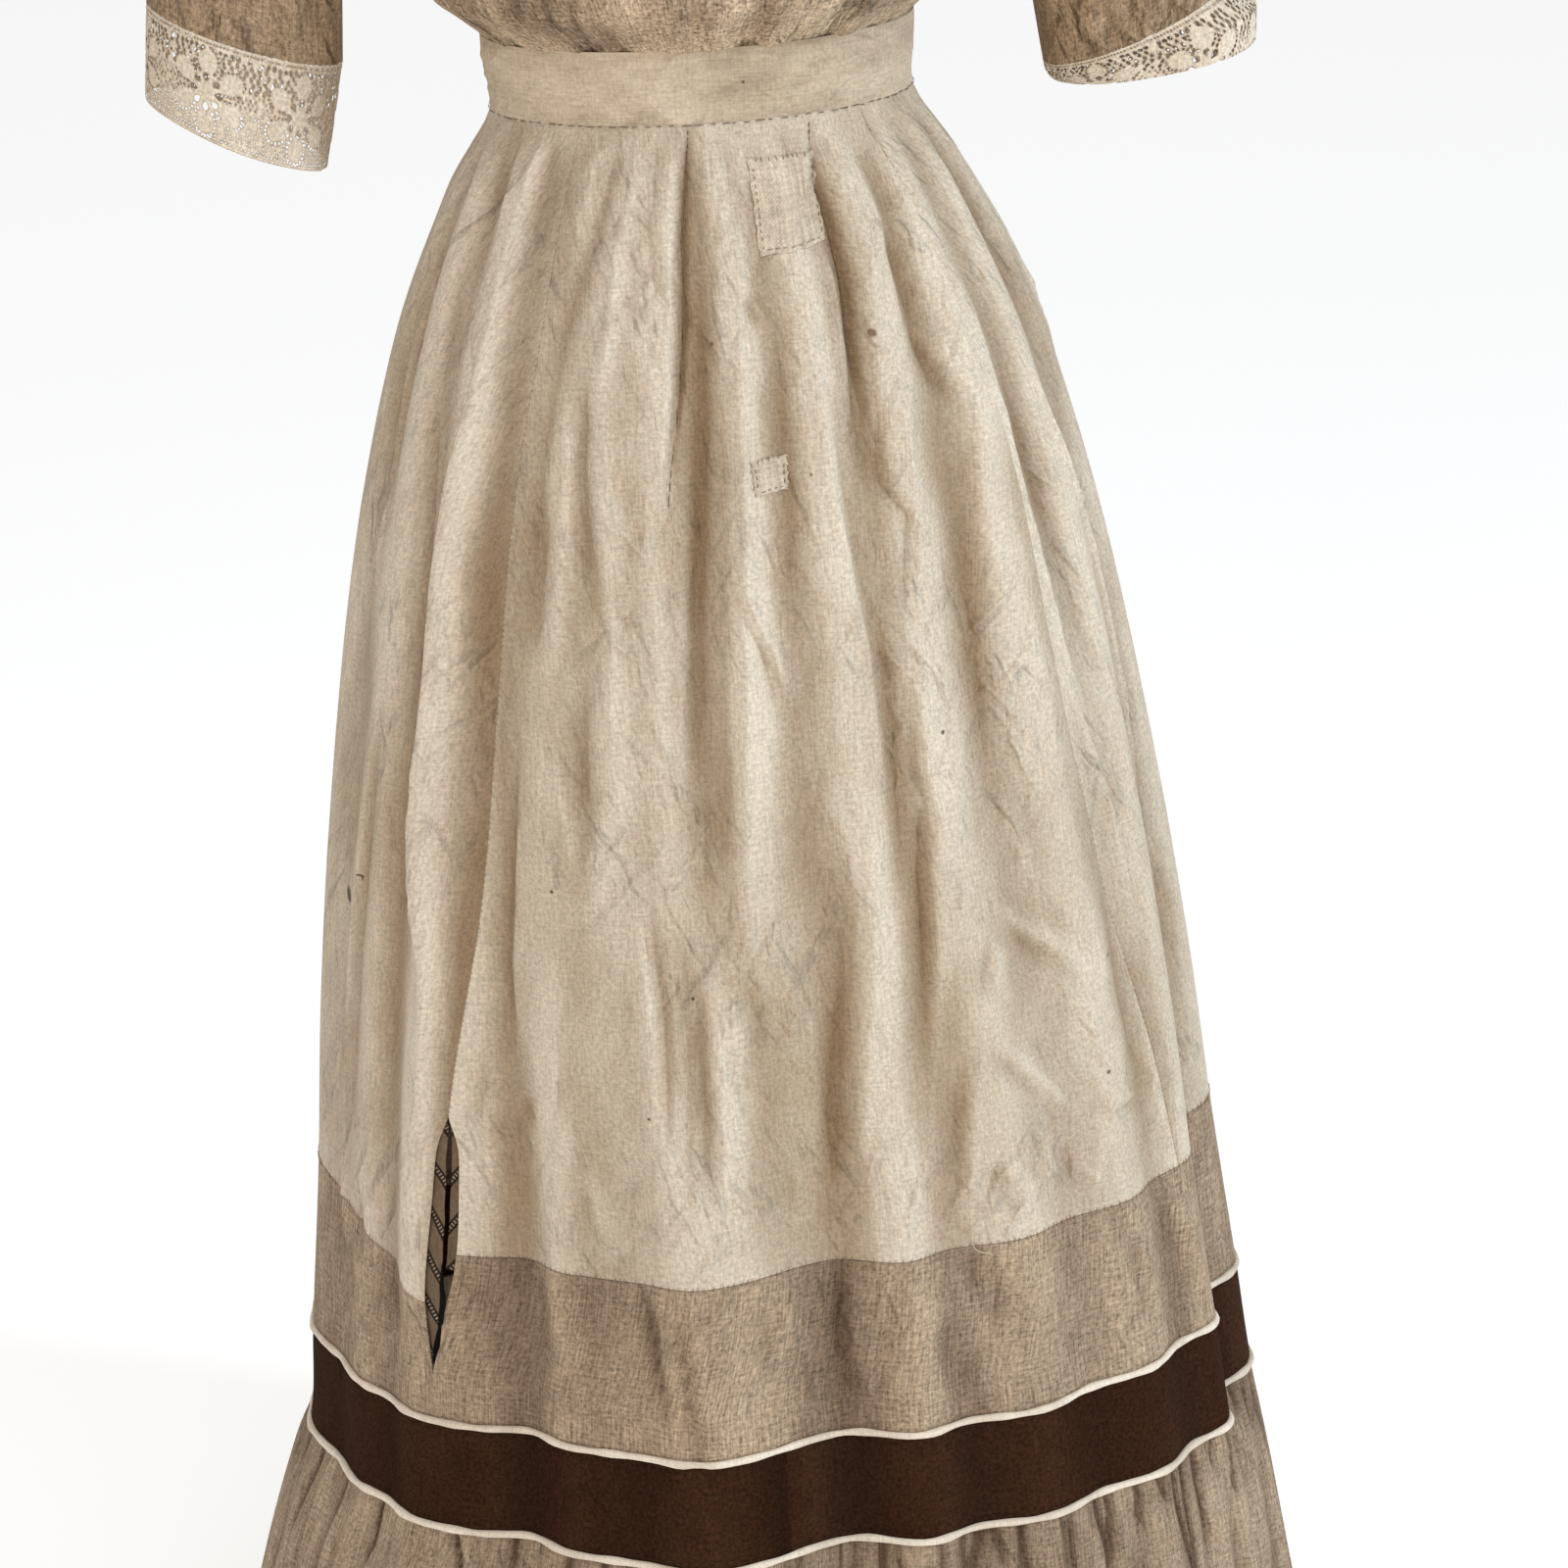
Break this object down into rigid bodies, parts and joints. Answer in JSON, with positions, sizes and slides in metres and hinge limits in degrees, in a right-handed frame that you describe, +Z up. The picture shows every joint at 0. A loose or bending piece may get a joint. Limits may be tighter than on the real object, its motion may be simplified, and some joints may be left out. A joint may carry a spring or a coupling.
{
  "type": "prairie dress",
  "caption": "Full-length linen dress in its worn shape: fitted bodice, elbow sleeves with lace cuffs, waistband, gored cream skirt with patches and a slit, and bordered gathered hem.",
  "frame": {"origin": "middle of the shoulder line, where the wearer's shoulders carry the dress", "axes": "+Z up, -Y the front of the dress, +X towards the right of the picture, which is the wearer's left"},
  "size_m": [0.6722, 0.6338, 1.4182],
  "materials": {
    "bodice_linen": "plain weave, wrinkled",
    "waist_linen": "plain weave, creased",
    "cream_linen": "plain weave, aged",
    "tan_linen": "open plain weave",
    "brown_cotton": "plain weave, faded",
    "piping_cotton": "matt cord",
    "lace_thread": "bobbin lace",
    "patch_linen": "coarse plain weave",
    "facing_print": "printed cotton",
    "button_shell": "dull shell"
  },
  "bodies": {
    "root": {"bodice_front": "bodice_linen", "bodice_side_left": "bodice_linen", "bodice_side_right": "bodice_linen", "bodice_back_left": "bodice_linen", "bodice_back_right": "bodice_linen", "neck_binding": "bodice_linen", "button_1": "button_shell", "button_2": "button_shell", "button_3": "button_shell", "button_4": "button_shell", "button_5": "button_shell", "button_6": "button_shell", "sleeve_left": "bodice_linen", "sleeve_right": "bodice_linen", "lace_left_outer": "lace_thread", "lace_left_inner": "lace_thread", "lace_right_outer": "lace_thread", "lace_right_inner": "lace_thread", "waistband": "waist_linen", "gore_front": "cream_linen", "gore_side_left": "cream_linen", "gore_side_right": "cream_linen", "gore_back_left": "cream_linen", "gore_back_right": "cream_linen", "facing_left": "facing_print", "facing_right": "facing_print", "patch_large": "patch_linen", "patch_small": "patch_linen", "tan_band": "tan_linen", "piping_upper": "piping_cotton", "brown_band": "brown_cotton", "piping_lower": "piping_cotton", "flounce": "tan_linen"}
  },
  "joints": []
}
